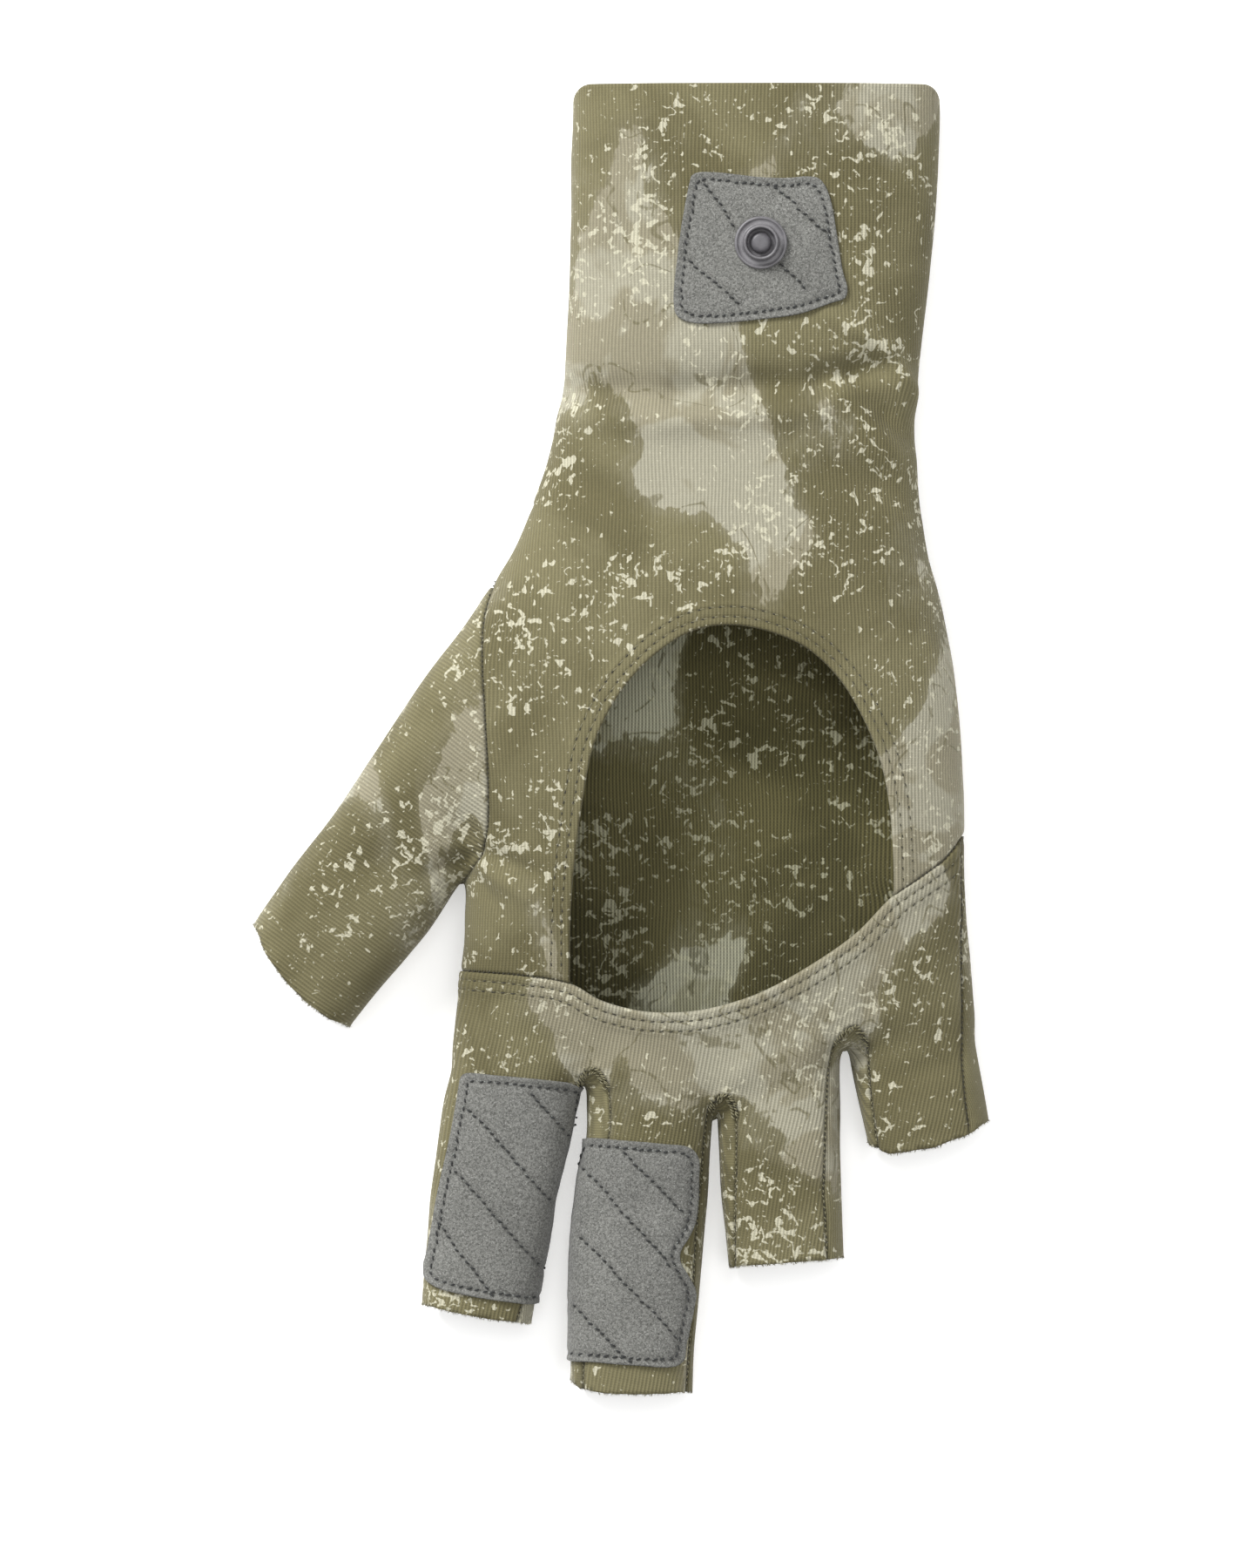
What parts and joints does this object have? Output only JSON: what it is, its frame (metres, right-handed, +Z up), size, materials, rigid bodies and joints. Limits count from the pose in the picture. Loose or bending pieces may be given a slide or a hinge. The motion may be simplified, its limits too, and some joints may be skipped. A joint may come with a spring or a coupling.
{
  "type": "fishing glove",
  "caption": "Right-hand fingerless sun glove of stretch knit with a long cuff, open palm, suede finger patches and a press stud, lying palm up.",
  "frame": {"origin": "middle of the glove's outline as seen from above, on the surface that the back of the glove lies on", "axes": "+Z up out of the palm, +Y from the fingers to the cuff, -X towards the thumb"},
  "size_m": [0.145, 0.2557, 0.0271],
  "materials": {
    "knit_back": null,
    "knit_palm": "fine ribbed polyester knit in olive tan with pale grey blotches and cream flecks",
    "knit_side": "the same ribbed knit, cut as narrow gussets",
    "suede": "mid grey synthetic suede with a short mottled nap, quilted with dark grey thread",
    "stud": "violet-grey moulded plastic with a soft shine"
  },
  "bodies": {
    "root": {"back_panel": "knit_back", "palm_panel": "knit_palm", "finger_panel": "knit_palm", "thumb_panel": "knit_palm", "fourchette_index_middle": "knit_side", "fourchette_middle_ring": "knit_side", "fourchette_ring_little": "knit_side", "index_patch": "suede", "middle_patch": "suede", "cuff_patch": "suede", "snap_stud": "stud", "snap_rivet": "stud"}
  },
  "joints": []
}
